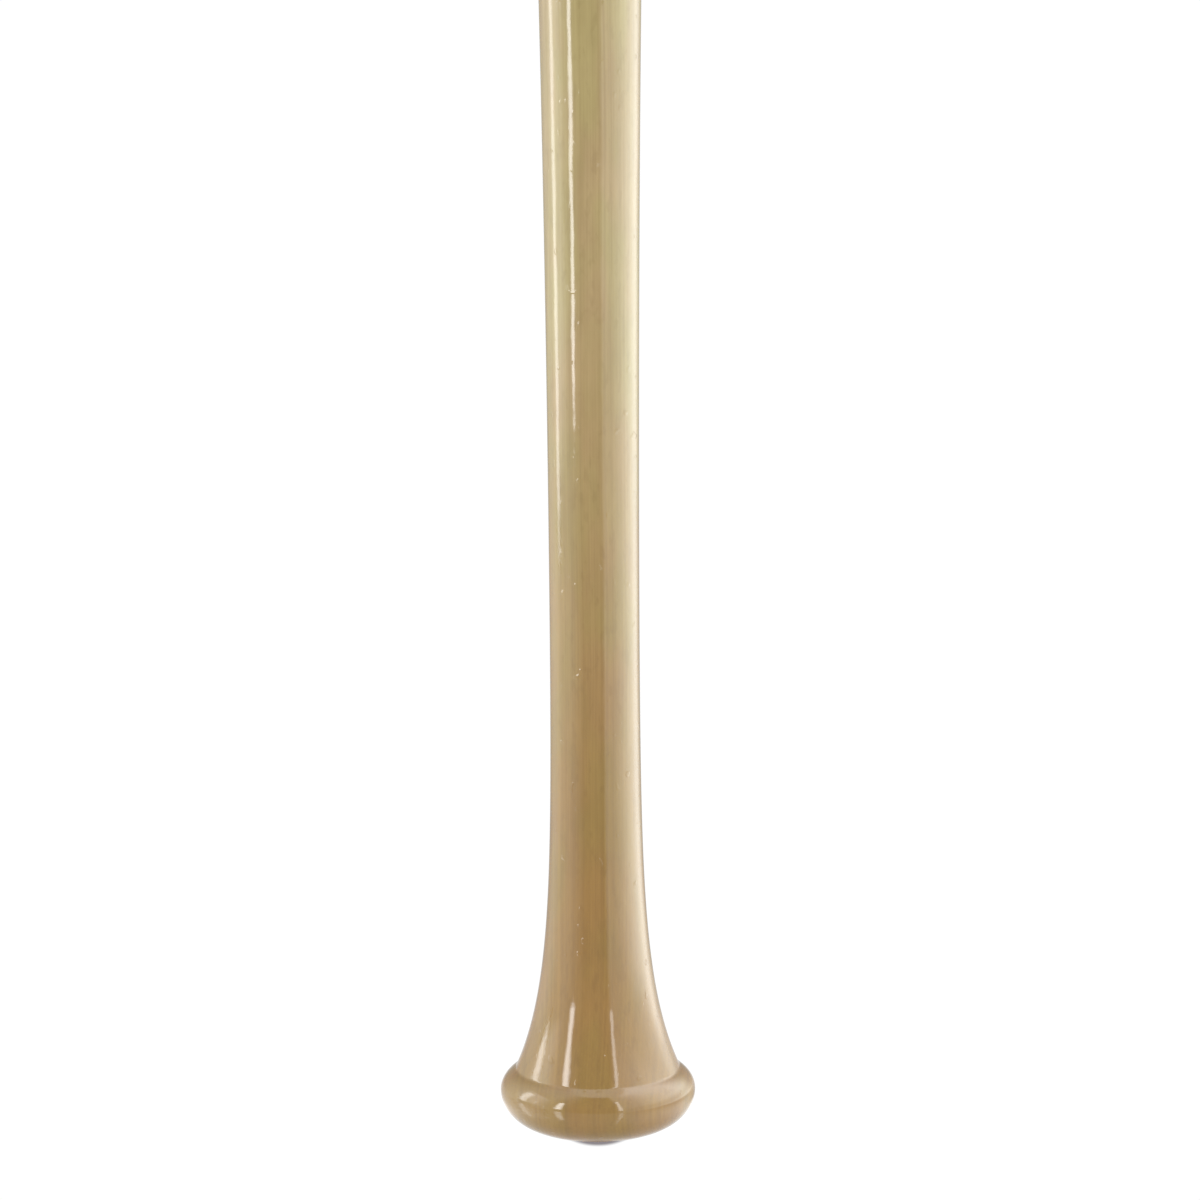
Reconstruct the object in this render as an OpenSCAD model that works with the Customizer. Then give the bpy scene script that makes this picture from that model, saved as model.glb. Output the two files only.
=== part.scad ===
// Baseball bat, turned from one billet of wood and finished with a thick clear gloss coat.
// It stands on its knob: the origin is the middle of the knob's flat base, and +Z runs
// along the bat to the barrel. All sizes are in millimetres. Every surface is a revolve
// about Z, and all sizes but the last two sections' are those of the finished, coated bat.

/* [Whole bat] */
// Length from the knob's base to the rim of the barrel's end
bat_length = 863.6; // [760:0.1:914.4]
// Diameter of the barrel where the rounding of its end begins
barrel_d = 63.5; // [57:0.1:66.3]
// Diameter that the flare and the taper both run out to on the handle
handle_d = 23.2; // [20:0.1:27]

/* [Taper] */
// Height at which the bat has swelled half way from the handle to the barrel
taper_z = 530; // [400:1:560]
// Length that sets how gently the taper swells
taper_run = 96; // [60:1:110]

/* [Flare above the knob] */
// Height of the crease between the flare and the knob
crease_z = 15.8; // [14:0.1:18]
// How far the flare stands out from the handle at the crease
flare_rise = 11; // [9:0.1:12]
// Length over which the flare dies away
flare_run = 24; // [16:0.1:28]

/* [Knob] */
// Diameter of the knob's widest ring
knob_d = 52.8; // [50:0.1:58]
// Height of the widest ring above the base
knob_z = 10.7; // [9:0.1:12]
// Diameter of the flat base
base_d = 25.2; // [18:0.1:36]
// Height of the arc from the widest ring to the shoulder's inner edge
shoulder_h = 8.5; // [8:0.1:11]
// Diameter of the shoulder's inner edge, which is buried in the flare
shoulder_d = 25.4; // [20:0.1:30]
// Width of the small fillet in the crease
crease_fillet = 0.4; // [0.2:0.1:1.5]

/* [Barrel end] */
// Height of the rounding from the barrel to the rim
end_round = 17; // [10:0.5:24]
// Diameter of the hollow cup's mouth
cup_d = 38; // [30:0.5:44]
// Depth of the cup
cup_depth = 22; // [12:0.5:30]
// Radius of the rounded lip between the rim and the cup
lip_r = 2; // [1:0.5:3]

/* [Clear coat] */
// Thickness of the clear coat
coat = 0.2; // [0.2:0.05:0.4]

/* [Hidden] */

handle_r = handle_d / 2;
knob_r = knob_d / 2;
base_r = base_d / 2;
shoulder_r = shoulder_d / 2;
cup_r = cup_d / 2;
rim_r = cup_r + lip_r;
barrel_end_z = bat_length - end_round;

// The taper's limit, set so that the bat reaches barrel_d exactly at barrel_end_z
swell = (barrel_d / 2 - handle_r) * (1 + exp((taper_z - barrel_end_z) / taper_run));

// Steps along each stretch of the outline
ARC_STEPS = 24;
SHAFT_STEPS = 64;
LIP_STEPS = 6;
ROUND_STEPS = 128;

// The shoulder's arc is followed this far round, past the crease, before the shaft takes over
SHOULDER_TURN = 60;

// Radius of the handle, taper and barrel at height z
function shaft_radius(z) = handle_r
    + flare_rise * exp((crease_z - z) / flare_run)
    + swell / (1 + exp((taper_z - z) / taper_run));

// Radius of the knob's shoulder at height z above the widest ring, and none past its end
function shoulder_radius(z) = let (rise = (z - knob_z) / shoulder_h)
    rise < 1 ? shoulder_r + (knob_r - shoulder_r) * sqrt(1 - rise * rise) : 0;

// The larger of two radii, with a small fillet where they cross
function fillet_max(a, b) = let (near = max(1 - abs(a - b) / crease_fillet, 0))
    max(a, b) + near * near * crease_fillet / 4;

// Outline point at height z, anywhere from the widest ring to the end of the barrel
function side_point(z) = [fillet_max(shaft_radius(z), shoulder_radius(z)), z];

// The knob's underside: a quarter ellipse that leaves the flat base level
belly = [for (i = [0 : ARC_STEPS - 1])
    let (turn = 90 * i / ARC_STEPS)
    [base_r + (knob_r - base_r) * sin(turn), knob_z * (1 - cos(turn))]];

// The shoulder, and the first of the flare beyond the crease
shoulder = [for (i = [0 : ARC_STEPS - 1])
    side_point(knob_z + shoulder_h * sin(SHOULDER_TURN * i / ARC_STEPS))];

// The flare, handle, taper and barrel, in steps that lengthen as the curve calms down
shaft_z = knob_z + shoulder_h * sin(SHOULDER_TURN);
shaft = [for (i = [0 : SHAFT_STEPS - 1])
    side_point(shaft_z + (barrel_end_z - shaft_z) * pow(i / SHAFT_STEPS, 2))];

// The rounded end of the barrel, up to the flat rim
barrel_end = [for (i = [0 : ARC_STEPS])
    let (turn = 90 * i / ARC_STEPS)
    [rim_r + (barrel_d / 2 - rim_r) * cos(turn), barrel_end_z + end_round * sin(turn)]];

// The outside of the coat, from the edge of the base to the rim
coat_outline = concat(belly, shoulder, shaft, barrel_end);
last = len(coat_outline) - 1;

// Outward unit normal at point i of the coat's outline, which is level at both ends
function outward(i) =
    i == 0 ? [0, -1] :
    i == last ? [0, 1] :
    let (along = coat_outline[i + 1] - coat_outline[i - 1])
    [along.y, -along.x] / norm(along);

// The wood under the coat
wood_outline = [for (i = [0 : last]) coat_outline[i] - coat * outward(i)];

// The rounded lip and the cup inside the barrel's end, from the rim to the axis
lip = [for (i = [0 : LIP_STEPS - 1])
    let (turn = 90 * i / LIP_STEPS)
    [rim_r - lip_r * sin(turn), bat_length - lip_r * (1 - cos(turn))]];
cup = [for (i = [0 : ARC_STEPS])
    let (turn = 90 * i / ARC_STEPS)
    [cup_r * cos(turn), bat_length - lip_r - (cup_depth - lip_r) * sin(turn)]];

module turned(outline) {
    rotate_extrude($fn = ROUND_STEPS) polygon(outline);
}

// The whole billet. Its base, rim and cup are bare wood, and stand flush with the coat.
module wood_body() {
    color([0.80, 0.66, 0.46])
        turned(concat([[0, 0], [base_r, 0]], wood_outline, lip, cup));
}

// The clear coat, a thin skin over the billet from the base's edge to the rim
module lacquer_coat() {
    inside = [for (i = [last : -1 : 0]) wood_outline[i]];
    color([0.93, 0.84, 0.66, 0.5])
        turned(concat(coat_outline, inside));
}

wood_body();
lacquer_coat();
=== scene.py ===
"""Looks for the turned wooden baseball bat: finished skin, bare wood, studio and camera."""

import math

import bpy
from mathutils import Matrix, Vector

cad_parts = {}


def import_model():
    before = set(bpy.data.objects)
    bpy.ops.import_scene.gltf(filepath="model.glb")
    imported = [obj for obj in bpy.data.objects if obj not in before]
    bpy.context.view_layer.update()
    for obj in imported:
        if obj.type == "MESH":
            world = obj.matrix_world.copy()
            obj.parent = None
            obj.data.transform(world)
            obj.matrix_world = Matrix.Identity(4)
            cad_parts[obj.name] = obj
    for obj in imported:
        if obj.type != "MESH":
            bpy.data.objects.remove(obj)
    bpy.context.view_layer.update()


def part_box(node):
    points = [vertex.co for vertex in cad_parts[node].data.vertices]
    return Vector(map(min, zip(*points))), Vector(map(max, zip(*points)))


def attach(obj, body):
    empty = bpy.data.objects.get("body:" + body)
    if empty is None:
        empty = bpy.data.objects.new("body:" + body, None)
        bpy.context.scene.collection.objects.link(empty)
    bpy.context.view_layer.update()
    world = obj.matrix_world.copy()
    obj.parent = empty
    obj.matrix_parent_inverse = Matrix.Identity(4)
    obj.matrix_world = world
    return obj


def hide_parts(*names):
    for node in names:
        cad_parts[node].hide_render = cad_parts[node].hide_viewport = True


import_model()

# ---------------------------------------------------------------- sizes, in metres
# The two overall sizes come from the frame. The rest repeat the CAD model's outline.
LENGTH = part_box("lacquer_coat")[1].z
BARREL_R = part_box("lacquer_coat")[1].x

HANDLE_R = 0.0116
TAPER_Z = 0.530
TAPER_RUN = 0.096
CREASE_Z = 0.0158
FLARE_RISE = 0.0110
FLARE_RUN = 0.0240
KNOB_R = 0.0264
KNOB_Z = 0.0107
BASE_R = 0.0126
SHOULDER_H = 0.0085
SHOULDER_R = 0.0127
CREASE_FILLET = 0.0004
END_ROUND = 0.017
CUP_R = 0.019
CUP_DEPTH = 0.022
LIP_R = 0.002
COAT = 0.0002

BARREL_END_Z = LENGTH - END_ROUND
RIM_R = CUP_R + LIP_R
SWELL = (BARREL_R - HANDLE_R) * (1 + math.exp((TAPER_Z - BARREL_END_Z) / TAPER_RUN))

# Fineness of the turned meshes
ROUND_STEPS = 256
ARC_STEPS = 40
SHAFT_STEPS = 220
SHOULDER_TURN = math.radians(60)
SHAFT_CROWDING = 1.6           # above 1 the shaft's steps start short, at the flare
SHARP_EDGE = math.radians(40)


# ---------------------------------------------------------------- outline
def shaft_radius(z):
    """Radius of the flare, handle, taper and barrel at height z."""
    flare = FLARE_RISE * math.exp((CREASE_Z - z) / FLARE_RUN)
    return HANDLE_R + flare + SWELL / (1 + math.exp((TAPER_Z - z) / TAPER_RUN))


def shoulder_radius(z):
    """Radius of the knob's shoulder at height z above its widest ring, and none past its end."""
    rise = (z - KNOB_Z) / SHOULDER_H
    return SHOULDER_R + (KNOB_R - SHOULDER_R) * math.sqrt(1 - rise * rise) if rise < 1 else 0.0


def side_point(z):
    """Outline point at height z, with a small fillet in the crease above the knob."""
    shaft, shoulder = shaft_radius(z), shoulder_radius(z)
    near = max(1 - abs(shaft - shoulder) / CREASE_FILLET, 0)
    return max(shaft, shoulder) + near * near * CREASE_FILLET / 4, z


def quarter(steps):
    """Angles of a quarter turn, from its start to its end."""
    return [math.pi / 2 * i / steps for i in range(steps + 1)]


def coat_outline():
    """The outside of the clear coat, from the edge of the base to the rim."""
    belly = [(BASE_R + (KNOB_R - BASE_R) * math.sin(a), KNOB_Z * (1 - math.cos(a)))
             for a in quarter(ARC_STEPS)[:-1]]
    shoulder = [side_point(KNOB_Z + SHOULDER_H * math.sin(SHOULDER_TURN * i / ARC_STEPS))
                for i in range(ARC_STEPS)]
    low = KNOB_Z + SHOULDER_H * math.sin(SHOULDER_TURN)
    shaft = [side_point(low + (BARREL_END_Z - low) * (i / SHAFT_STEPS) ** SHAFT_CROWDING)
             for i in range(SHAFT_STEPS)]
    end = [(RIM_R + (BARREL_R - RIM_R) * math.cos(a), BARREL_END_Z + END_ROUND * math.sin(a))
           for a in quarter(ARC_STEPS)]
    return belly + shoulder + shaft + end


def inset(outline, depth):
    """The outline moved inwards by depth along its normals. Both its ends are level."""
    moved = []
    for i, (r, z) in enumerate(outline):
        if i in (0, len(outline) - 1):
            moved.append((r, z + depth if i == 0 else z - depth))
            continue
        (r0, z0), (r1, z1) = outline[i - 1], outline[i + 1]
        along = math.hypot(r1 - r0, z1 - z0)
        moved.append((r - depth * (z1 - z0) / along, z + depth * (r1 - r0) / along))
    return moved


# ---------------------------------------------------------------- meshes
def turned(name, outline, closed):
    """A solid of revolution about Z. A closed outline makes a ring-shaped skin, and an open one
    starts and ends on the axis."""
    chain = outline if closed else outline[1:-1]
    verts = []
    for r, z in chain:
        for k in range(ROUND_STEPS):
            turn = math.tau * k / ROUND_STEPS
            verts.append((r * math.cos(turn), r * math.sin(turn), z))
    faces = []
    rings = len(chain)
    for i in range(rings if closed else rings - 1):
        a, b = i * ROUND_STEPS, (i + 1) % rings * ROUND_STEPS
        for k in range(ROUND_STEPS):
            n = (k + 1) % ROUND_STEPS
            faces.append((a + k, a + n, b + n, b + k))
    if not closed:
        first, last = len(verts), len(verts) + 1
        verts += [(0, 0, outline[0][1]), (0, 0, outline[-1][1])]
        top = (rings - 1) * ROUND_STEPS
        for k in range(ROUND_STEPS):
            n = (k + 1) % ROUND_STEPS
            faces.append((first, n, k))
            faces.append((last, top + k, top + n))
    mesh = bpy.data.meshes.new(name)
    mesh.from_pydata(verts, [], faces)
    mesh.validate()
    piece = bpy.data.objects.new(name, mesh)
    bpy.context.scene.collection.objects.link(piece)
    mesh.shade_smooth()
    mesh.set_sharp_from_angle(angle=SHARP_EDGE)
    return piece


# ---------------------------------------------------------------- shader helpers
class Shader:
    """The nodes of a material or a world, with short calls to add and wire them."""

    def __init__(self, owner, output="ShaderNodeOutputMaterial"):
        owner.use_nodes = True
        self.tree = owner.node_tree
        self.tree.nodes.clear()
        self.out = self.tree.nodes.new(output)

    def add(self, kind, inputs=None, **settings):
        node = self.tree.nodes.new(kind)
        for key, value in settings.items():
            setattr(node, key, value)
        for key, value in (inputs or {}).items():
            if isinstance(value, bpy.types.NodeSocket):
                self.tree.links.new(value, node.inputs[key])
            else:
                node.inputs[key].default_value = value
        return node

    def finish(self, shader):
        self.tree.links.new(shader.outputs[0], self.out.inputs[0])

    def math(self, operation, a, b=0.0, c=0.0):
        return self.add("ShaderNodeMath", {0: a, 1: b, 2: c}, operation=operation).outputs[0]

    def noise(self, place, scale, detail=2.0, roughness=0.5, offset=(0, 0, 0)):
        """Noise stretched by a different number of waves per metre along each axis."""
        spot = self.add("ShaderNodeMapping", {"Vector": place, "Scale": scale, "Location": offset})
        return self.add("ShaderNodeTexNoise", {"Vector": spot.outputs[0], "Scale": 1.0,
                                               "Detail": detail, "Roughness": roughness}).outputs[0]

    def line_noise(self, value, per_metre, detail=2.0):
        """Noise along one direction only, as wood's growth rings are."""
        step = self.math("MULTIPLY", value, per_metre)
        return self.add("ShaderNodeTexNoise", {"W": step, "Scale": 1.0, "Detail": detail},
                        noise_dimensions="1D").outputs[0]

    def remap(self, value, low, high, to_low=0.0, to_high=1.0):
        return self.add("ShaderNodeMapRange", {"Value": value, "From Min": low, "From Max": high,
                                               "To Min": to_low, "To Max": to_high},
                        interpolation_type="SMOOTHSTEP").outputs[0]

    def mix(self, amount, a, b, blend="MIX"):
        node = self.add("ShaderNodeMix", {"Factor": amount}, data_type="RGBA", blend_type=blend)
        for socket, value in ((node.inputs[6], a), (node.inputs[7], b)):
            if isinstance(value, bpy.types.NodeSocket):
                self.tree.links.new(value, socket)
            else:
                socket.default_value = (*value, 1.0)
        return node.outputs[2]

    def mix_value(self, amount, a, b):
        return self.add("ShaderNodeMix", {0: amount, 2: a, 3: b}, data_type="FLOAT").outputs[0]

    def bump(self, height, metres, normal=None):
        inputs = {"Height": height, "Strength": 1.0, "Distance": metres}
        if normal is not None:
            inputs["Normal"] = normal
        return self.add("ShaderNodeBump", inputs).outputs[0]


# ---------------------------------------------------------------- wood
PITH_DISTANCE = 0.14           # how far the tree's centre lay from the bat's axis, along -X
RINGS_PER_METRE = 1000.0
RINGS_PER_BAND = 5
# Mean colour of the wood under the coat, darker and warmer low on the bat
LOW_WOOD = (0.288, 0.155, 0.028)
HIGH_WOOD = (0.395, 0.285, 0.117)
WARM_BELOW = 0.055
PALE_ABOVE = 0.260
# What the figure multiplies that colour by, from its palest to its deepest, and from green to rosy
PALE_SHADE = (1.12, 1.14, 1.18)
DEEP_SHADE = (0.86, 0.84, 0.79)
GREENISH = (0.970, 1.020, 0.940)
ROSY = (1.025, 0.980, 1.050)
# Waves per metre of each part of the figure, along X, Y and the bat
WANDER_WAVES = (14, 14, 5)
WAVER_WAVES = (130, 130, 22)
FAINT_WAVES = (150, 150, 12)
FIBRE_WAVES = (2200, 2200, 45)
FLECK_WAVES = (520, 520, 190)
CLOUD_WAVES = (150, 150, 50)
ROSY_WAVES = (95, 95, 30)
# How far the rings wander and waver, in metres
WANDER = 0.0040
WAVER = 0.0007
# Each part's share in how deep the colour is, and the sums that come out palest and deepest
RING_SHARE = 0.95
BAND_SHARE = 0.45
FIBRE_SHARE = 0.45
CLOUD_SHARE = 0.85
FLECK_SHARE = 0.22
PALEST = 0.85
DEEPEST = 1.82
# Waves per metre of each part of the coat's unevenness, along X, Y and the bat
SWELL_WAVES = (110, 110, 45)
RIPPLE_WAVES = (300, 300, 170)
PEEL_WAVES = (900, 900, 700)
NIB_WAVES = (420, 420, 380)
# Heights of the coat's unevenness and of the wood's own relief, in metres
COAT_SWELL = 0.00012
COAT_RIPPLE = 0.00004
COAT_PEEL = 0.000004
COAT_NIBS = 0.00006
SANDED_RELIEF = 0.00002
TURNED_RELIEF = 0.00005
GROOVES_PER_METRE = 2200.0


def wood_figure(s):
    """The wood's solid pattern. Returns its colour and its fine relief, from 0 to 1."""
    place = s.add("ShaderNodeTexCoord").outputs["Object"]
    xyz = s.add("ShaderNodeSeparateXYZ", {0: place})
    wander = s.noise(place, WANDER_WAVES, detail=1.0)
    waver = s.noise(place, WAVER_WAVES, detail=2.0, offset=(7, 7, 2))
    from_pith = s.add("ShaderNodeMapping", {"Vector": place, "Location": (PITH_DISTANCE, 0, 0),
                                            "Scale": (1, 1, 0)}).outputs[0]
    radius = s.add("ShaderNodeVectorMath", {0: from_pith}, operation="LENGTH").outputs["Value"]
    across = s.math("MULTIPLY_ADD", wander, WANDER, radius)
    across = s.math("MULTIPLY_ADD", waver, WAVER, across)
    rings = s.line_noise(across, RINGS_PER_METRE, 3.0)
    faint = s.noise(place, FAINT_WAVES, detail=1.0, offset=(1, 8, 5))
    faint = s.remap(faint, 0.35, 0.65, 0.5, 1.0)
    rings = s.math("MULTIPLY_ADD", s.math("SUBTRACT", rings, 0.5), faint, 0.5)
    bands = s.line_noise(across, RINGS_PER_METRE / RINGS_PER_BAND, 2.0)
    fibres = s.noise(place, FIBRE_WAVES, detail=3.0)
    flecks = s.remap(s.noise(place, FLECK_WAVES, detail=2.0, offset=(3, 1, 7)), 0.54, 0.74)
    clouds = s.noise(place, CLOUD_WAVES, detail=3.0, roughness=0.6, offset=(5, 2, 1))
    depth = s.math("MULTIPLY", rings, RING_SHARE)
    for part, share in ((bands, BAND_SHARE), (fibres, FIBRE_SHARE), (clouds, CLOUD_SHARE),
                        (flecks, FLECK_SHARE)):
        depth = s.math("MULTIPLY_ADD", part, share, depth)
    depth = s.remap(depth, PALEST, DEEPEST)
    tone = s.mix(s.remap(xyz.outputs[2], WARM_BELOW, PALE_ABOVE), LOW_WOOD, HIGH_WOOD)
    shade = s.mix(depth, PALE_SHADE, DEEP_SHADE)
    colour = s.mix(1.0, tone, shade, "MULTIPLY")
    rosy = s.remap(s.noise(place, ROSY_WAVES, detail=2.0, offset=(9, 4, 2)), 0.35, 0.65)
    tint = s.mix(rosy, GREENISH, ROSY)
    colour = s.mix(1.0, colour, tint, "MULTIPLY")
    relief = s.math("MULTIPLY_ADD", fibres, 0.6, s.math("MULTIPLY", rings, 0.4))
    return place, colour, relief


def coated_wood():
    """Sanded wood under a thick clear gloss coat, with the coat's faint ripple and dust nibs."""
    material = bpy.data.materials.new("coated_wood")
    s = Shader(material)
    place, colour, relief = wood_figure(s)
    swell = s.noise(place, SWELL_WAVES, detail=1.0)
    ripple = s.noise(place, RIPPLE_WAVES, detail=1.0, offset=(4, 4, 9))
    peel = s.noise(place, PEEL_WAVES, detail=1.0, offset=(2, 6, 3))
    nibs = s.remap(s.noise(place, NIB_WAVES, detail=0.0, offset=(6, 3, 5)), 0.76, 0.84)
    coat_normal = s.bump(swell, COAT_SWELL)
    coat_normal = s.bump(ripple, COAT_RIPPLE, coat_normal)
    coat_normal = s.bump(peel, COAT_PEEL, coat_normal)
    coat_normal = s.bump(nibs, COAT_NIBS, coat_normal)
    s.finish(s.add("ShaderNodeBsdfPrincipled", {
        "Base Color": colour, "Roughness": 0.55, "IOR": 1.45, "Specular IOR Level": 0.0,
        "Coat Weight": 1.0, "Coat Roughness": 0.03, "Coat IOR": 1.5,
        "Normal": s.bump(relief, SANDED_RELIEF), "Coat Normal": coat_normal}))
    return material


def bare_wood():
    """Sanded end grain, on the knob's base, the barrel's rim and the cup."""
    material = bpy.data.materials.new("bare_wood")
    s = Shader(material)
    place, colour, relief = wood_figure(s)
    dry = s.mix(1.0, colour, (1.02, 0.98, 0.92), "MULTIPLY")
    tool = s.add("ShaderNodeVectorMath", {0: place, 1: (1, 1, 0)}, operation="MULTIPLY").outputs[0]
    away = s.add("ShaderNodeVectorMath", {0: tool}, operation="LENGTH").outputs["Value"]
    grooves = s.line_noise(away, GROOVES_PER_METRE, 2.0)
    height = s.math("MULTIPLY_ADD", grooves, 0.7, relief)
    s.finish(s.add("ShaderNodeBsdfPrincipled", {
        "Base Color": dry, "Roughness": 0.62, "IOR": 1.45, "Normal": s.bump(height, TURNED_RELIEF)}))
    return material


# ---------------------------------------------------------------- pieces
def finished_skin():
    """The coated surface, a closed skin as thick as the clear coat."""
    outside = coat_outline()
    inside = inset(outside, COAT)
    piece = turned("finished_skin", outside + inside[::-1], closed=True)
    piece.data.materials.append(coated_wood())
    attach(piece, "root")
    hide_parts("lacquer_coat")


def billet():
    """The solid wood, bare at its base, rim and cup."""
    lip = [(RIM_R - LIP_R * math.sin(a), LENGTH - LIP_R * (1 - math.cos(a)))
           for a in quarter(ARC_STEPS // 4)[:-1]]
    deep = CUP_DEPTH - LIP_R
    cup = [(CUP_R * math.cos(a), LENGTH - LIP_R - deep * math.sin(a)) for a in quarter(ARC_STEPS)]
    cup[-1] = (0.0, LENGTH - CUP_DEPTH)
    side = inset(coat_outline(), COAT)
    piece = turned("billet", [(0.0, 0.0), (BASE_R, 0.0)] + side + lip + cup, closed=False)
    piece.data.materials.append(bare_wood())
    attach(piece, "root")
    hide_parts("wood_body")


# ---------------------------------------------------------------- studio
# What the gloss reflects: a dim room, brighter at the front, and three broad sources of light.
# Azimuths are in degrees, 0 at the camera and + to its right. Each source starts, is full, starts
# to fade and ends at these azimuths.
ROOM_FRONT = 1.2
ROOM_BACK = 0.6
LEFT_BOX = (-160, -105, -75, -20)
RIGHT_BOX = (18, 30, 128, 165)
RIGHT_WINDOW = (30, 105, 118, 150)
# Strength of the room, left box, right box and right window, at four levels
FLOOR_CLOSE = (1.4, 0.8, 0.6, 0.4)
FLOOR_FAR = (1.0, 1.8, 1.6, 3.6)
WALLS = (1.0, 1.7, 1.4, 2.2)
WALLS_HIGH = (1.0, 1.9, 1.8, 3.6)
CEILING = 3.2
# Between these rises of the line of sight, far floor turns to walls, walls to walls high up, and
# those to ceiling
HORIZON = (-0.14, 0.02)
HIGH_FROM = (0.12, 0.38)
CEILING_FROM = (0.93, 0.97)
# Tint of the light from both sides, in the gloss and on the wood
SIDE_TINT = (0.99, 1.045, 0.985)
# The light on the wood, which the gloss doesn't show: its strength, how much stronger it is from
# the sides, its share from below, the rises between which that turns to the full light, and the
# share left where the dark cards are
EVEN_LIGHT = 1.12
SIDE_LIGHT = 1.7
BELOW_LIGHT = 0.8
EVEN_FROM = (-0.2, 0.1)
DARK_CARDS = 0.35
# The dark cards' span behind the bat: where their shade comes in and where it goes
CARDS_IN = (-0.05, 0.20)
CARDS_OUT = (0.55, 0.85)

FLOOR_R = 12.0
FLOOR_WHITE = 1.03
FLOOR_GLOSS = 0.35
FLOOR_ROUGHNESS = 0.06
RING_STEPS = 96
CONTACT_R = 0.020              # out to here one piece of floor is seen by every kind of ray
NEAR_FLOOR_R = 0.25
# Distances from the axis over which the floor's glow comes up past the painted shade close by the
# knob, its gloss comes up, its glow turns into the walls', and the painted shadow under the base
# clears
GLOW_BY_KNOB = (0.020, 0.036)
GLOSS_BY_KNOB = (0.025, 0.045)
GLOW_TO_WALLS = (0.06, NEAR_FLOOR_R)
BASE_SHADOW = (0.013, 0.0165)
# The painted contact shadow on the floor under the knob: its half-width along X, its half-length
# along Y, how far out, as a share of those, its edge starts and ends, and its shadow colour
CONTACT_SHADOW_WIDTH = 0.0108
CONTACT_SHADOW_REACH = 0.0197
CONTACT_SHADOW_EDGE = (0.84, 1.02)
CONTACT_SHADOW_TONE = (0.26, 0.235, 0.25)

LENS_MM = 160.55
SENSOR_MM = 36.0
EYE = Vector((0.0015, -1.400, 0.425))
AIM = Vector((0.0015, 0.0, 0.1458))
ROLL = math.radians(-0.4156)


def camera():
    """The view, from the front and above, down on the knob and handle."""
    data = bpy.data.cameras.new("camera")
    data.lens = LENS_MM
    data.sensor_width = SENSOR_MM
    data.clip_start = 0.05
    piece = bpy.data.objects.new("camera", data)
    bpy.context.scene.collection.objects.link(piece)
    turn = (AIM - EYE).to_track_quat("-Z", "Y").to_matrix()
    roll = Matrix.Rotation(ROLL, 3, "Z")
    piece.matrix_world = Matrix.Translation(EYE) @ (turn @ roll).to_4x4()
    bpy.context.scene.camera = piece


def around(s, x, y, level):
    """The studio's radiance towards x, y, at one of its levels."""
    azimuth = s.math("ARCTAN2", x, s.math("MULTIPLY", y, -1.0))
    degrees = s.math("DEGREES", azimuth)
    room, *sources = level
    half_swing = (ROOM_FRONT - ROOM_BACK) / 2 * room
    middle = (ROOM_FRONT + ROOM_BACK) / 2 * room
    glow = s.math("MULTIPLY_ADD", s.math("COSINE", azimuth), half_swing, middle)
    for (start, full, fade, end), strength in zip((LEFT_BOX, RIGHT_BOX, RIGHT_WINDOW), sources):
        rise = s.remap(degrees, start, full)
        fall = s.remap(degrees, fade, end, 1.0, 0.0)
        glow = s.math("MULTIPLY_ADD", s.math("MULTIPLY", rise, fall), strength, glow)
    return glow


def staged(name, mesh, material):
    """A piece of the studio, seen by nothing until it is told otherwise."""
    mesh.materials.append(material)
    piece = bpy.data.objects.new(name, mesh)
    bpy.context.scene.collection.objects.link(piece)
    for ray in ("camera", "diffuse", "glossy", "shadow"):
        setattr(piece, "visible_" + ray, False)
    return piece


def ring(name, inner, outer, material):
    """A flat ring of the floor."""
    steps = RING_STEPS
    turns = [math.tau * k / steps for k in range(steps)]
    verts = [(r * math.cos(a), r * math.sin(a), 0.0) for r in (inner, outer) for a in turns]
    faces = [(k, steps + k, steps + (k + 1) % steps, (k + 1) % steps) for k in range(steps)]
    mesh = bpy.data.meshes.new(name)
    mesh.from_pydata(verts, [], faces)
    return staged(name, mesh, material)


def white_floor():
    """The plain white floor, with a small contact shadow painted into its glow under the knob."""
    material = bpy.data.materials.new("floor")
    material.cycles.emission_sampling = "NONE"
    s = Shader(material)
    place = s.add("ShaderNodeTexCoord").outputs["Object"]
    away = s.add("ShaderNodeVectorMath", {0: place}, operation="LENGTH").outputs["Value"]
    squeeze = (1 / CONTACT_SHADOW_WIDTH, 1 / CONTACT_SHADOW_REACH, 0)
    squeezed = s.add("ShaderNodeVectorMath", {0: place, 1: squeeze}, operation="MULTIPLY").outputs[0]
    reach = s.add("ShaderNodeVectorMath", {0: squeezed}, operation="LENGTH").outputs["Value"]
    # Painted shadow: the floor's glow turns to the shadow colour inside the contact ellipse and
    # close round the base
    clear = s.math("MULTIPLY", s.remap(reach, *CONTACT_SHADOW_EDGE), s.remap(away, *BASE_SHADOW))
    tone = s.mix(clear, CONTACT_SHADOW_TONE, (1.0, 1.0, 1.0))
    s.finish(s.add("ShaderNodeEmission", {"Color": tone, "Strength": FLOOR_WHITE}))
    # The contact piece, painted shadow and all, is the floor that the wood's diffuse and shadow rays
    # meet, so it also shades the knob's underside
    contact = ring("floor_contact", 0.0, CONTACT_R, material)
    for ray in ("camera", "diffuse", "glossy", "shadow"):
        setattr(contact, "visible_" + ray, True)
    ring("floor", CONTACT_R, FLOOR_R, material).visible_camera = True


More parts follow.
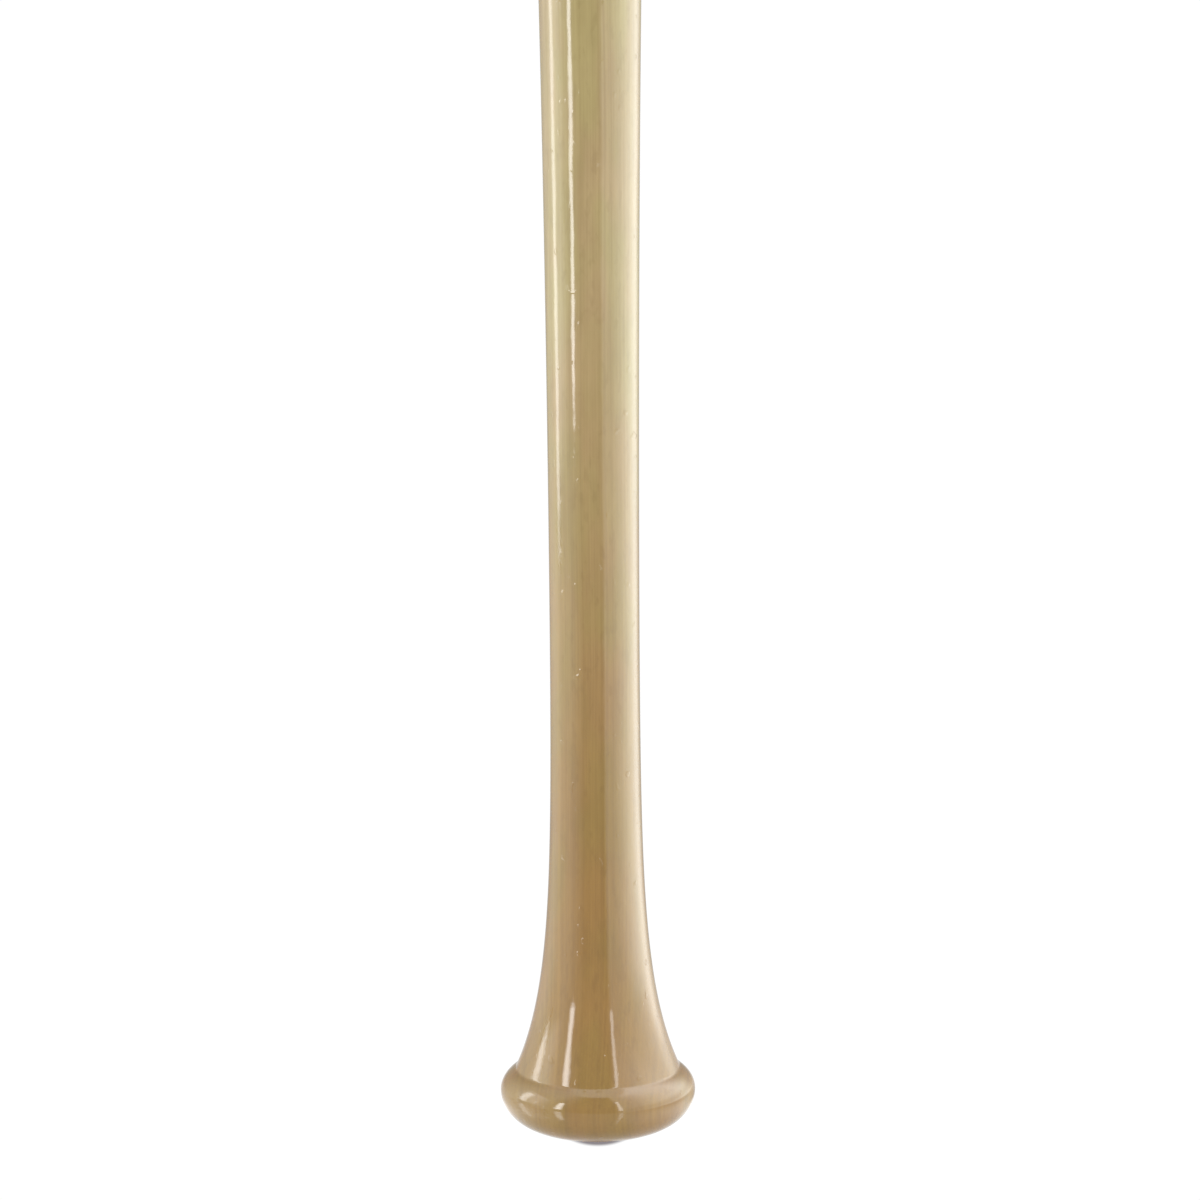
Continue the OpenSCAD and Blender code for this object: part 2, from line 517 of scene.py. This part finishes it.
def near_floor():
    """The same floor as the bat's gloss sees it close by: slightly glossy, with its glow painted
    brighter to the sides as painted light and dimmer close by the knob as painted shade. Past it the
    gloss sees the world's lower half."""
    material = bpy.data.materials.new("near_floor")
    material.cycles.emission_sampling = "NONE"
    s = Shader(material)
    place = s.add("ShaderNodeTexCoord").outputs["Object"]
    x, y, _ = s.add("ShaderNodeSeparateXYZ", {0: place}).outputs
    away = s.add("ShaderNodeVectorMath", {0: place}, operation="LENGTH").outputs["Value"]
    walls = around(s, x, y, WALLS)
    # Painted shade and light: the near floor's glow is held low close by the knob, then comes up to
    # a glow painted brighter towards the sides
    total = s.mix_value(s.remap(away, *GLOW_BY_KNOB), 1.0, around(s, x, y, FLOOR_CLOSE))
    total = s.mix_value(s.remap(away, *GLOW_TO_WALLS), total, walls)
    gloss = s.remap(away, *GLOSS_BY_KNOB, 0.0, FLOOR_GLOSS)
    glow = s.math("MAXIMUM", s.math("SUBTRACT", total, s.math("MULTIPLY", gloss, walls)), 0.0)
    light = s.add("ShaderNodeEmission", {"Color": (1, 1, 1, 1), "Strength": glow})
    sheen = s.add("ShaderNodeBsdfGlossy", {"Color": gloss, "Roughness": FLOOR_ROUGHNESS})
    s.finish(s.add("ShaderNodeAddShader", {0: light.outputs[0], 1: sheen.outputs[0]}))
    ring("near_floor", CONTACT_R, NEAR_FLOOR_R, material).visible_glossy = True


def soft_panel(name, azimuth, distance, width, low, high, radiance, fade):
    """An upright glowing panel, seen only in the gloss. It is brightest down its middle, dies
    away towards both sides, and is rounded off over the last `fade` metres at its ends."""
    material = bpy.data.materials.new(name)
    material.cycles.emission_sampling = "NONE"
    s = Shader(material)
    place = s.add("ShaderNodeTexCoord").outputs["Object"]
    x, _, z = s.add("ShaderNodeSeparateXYZ", {0: place}).outputs
    aside = s.math("MULTIPLY", x, 2 / width)
    end = s.math("ADD", s.remap(z, low, low + fade, 1.0, 0.0), s.remap(z, high - fade, high))
    spot = s.add("ShaderNodeCombineXYZ", {0: aside, 1: end}).outputs[0]
    reach = s.add("ShaderNodeVectorMath", {0: spot}, operation="LENGTH").outputs["Value"]
    glow = s.remap(reach, 0.15, 1.0, radiance, 0.0)
    light = s.add("ShaderNodeEmission", {"Color": (1, 1, 1, 1), "Strength": glow})
    through = s.add("ShaderNodeBsdfTransparent", {"Color": (1, 1, 1, 1)})
    s.finish(s.add("ShaderNodeAddShader", {0: light.outputs[0], 1: through.outputs[0]}))
    half = width / 2
    mesh = bpy.data.meshes.new(name)
    mesh.from_pydata([(-half, 0, low), (half, 0, low), (half, 0, high), (-half, 0, high)], [],
                     [(0, 1, 2, 3)])
    piece = staged(name, mesh, material)
    piece.visible_glossy = True
    turn = math.radians(azimuth)
    piece.location = (distance * math.sin(turn), -distance * math.cos(turn), 0)
    piece.rotation_euler = (0, 0, turn)


def low_fill(name, azimuth, distance, width, height, radiance):
    """An upright area light standing on the floor, which lights the wood and not the gloss."""
    data = bpy.data.lights.new(name, "AREA")
    data.shape = "RECTANGLE"
    data.size = width
    data.size_y = height
    data.energy = radiance * math.pi * width * height
    piece = bpy.data.objects.new(name, data)
    bpy.context.scene.collection.objects.link(piece)
    turn = math.radians(azimuth)
    spot = Vector((distance * math.sin(turn), -distance * math.cos(turn), height / 2))
    piece.location = spot
    piece.rotation_euler = Vector((spot.x, spot.y, 0)).to_track_quat("Z", "Y").to_euler()
    piece.visible_camera = False
    piece.visible_glossy = False


def world():
    """A white surround to the camera, an even light on the wood that is stronger from both
    sides, and the floor, walls and ceiling in the gloss."""
    surround = bpy.data.worlds.new("studio")
    bpy.context.scene.world = surround
    s = Shader(surround, "ShaderNodeOutputWorld")
    way = s.add("ShaderNodeTexCoord").outputs["Generated"]
    x, y, z = s.add("ShaderNodeSeparateXYZ", {0: way}).outputs
    gloss = around(s, x, y, FLOOR_FAR)
    for level, low, high in ((WALLS, *HORIZON), (WALLS_HIGH, *HIGH_FROM)):
        gloss = s.mix_value(s.remap(z, low, high), gloss, around(s, x, y, level))
    gloss = s.mix_value(s.remap(z, *CEILING_FROM), gloss, CEILING)
    even = s.math("MULTIPLY_ADD", s.math("MULTIPLY", x, x), SIDE_LIGHT, 1 - SIDE_LIGHT / 4)
    even = s.math("MULTIPLY", even, s.remap(z, *EVEN_FROM, EVEN_LIGHT * BELOW_LIGHT, EVEN_LIGHT))
    cards = s.math("MULTIPLY", s.remap(y, *CARDS_IN), s.remap(y, *CARDS_OUT, 1.0, 0.0))
    even = s.math("MULTIPLY", even, s.remap(cards, 0.0, 1.0, 1.0, DARK_CARDS))
    path = s.add("ShaderNodeLightPath").outputs
    light = s.mix_value(path["Is Glossy Ray"], even, gloss)
    light = s.mix_value(path["Is Camera Ray"], light, 1.0)
    tint = s.mix(s.math("MULTIPLY", x, x), (1.0, 1.0, 1.0), SIDE_TINT)
    tint = s.mix(path["Is Camera Ray"], tint, (1.0, 1.0, 1.0))
    s.finish(s.add("ShaderNodeBackground", {"Color": tint, "Strength": light}))


camera()
finished_skin()
billet()
white_floor()
near_floor()
world()
soft_panel("strip_front_left", azimuth=-48.0, distance=0.71, width=0.170, low=0.046, high=0.57,
           radiance=10.5, fade=0.060)
soft_panel("strip_left", azimuth=-99.5, distance=0.60, width=0.190, low=0.020, high=0.47,
           radiance=4.6, fade=0.070)
soft_panel("strip_right", azimuth=27.0, distance=1.50, width=0.220, low=0.140, high=1.90,
           radiance=5.0, fade=0.060)
soft_panel("window_left", azimuth=-90.0, distance=0.62, width=0.700, low=0.030, high=0.60,
           radiance=1.7, fade=0.100)
low_fill("low_fill_left", azimuth=-100.0, distance=0.35, width=0.40, height=0.12, radiance=1.0)
low_fill("low_fill_right", azimuth=95.0, distance=0.35, width=0.40, height=0.12, radiance=1.6)
bpy.context.scene.view_settings.view_transform = "Standard"
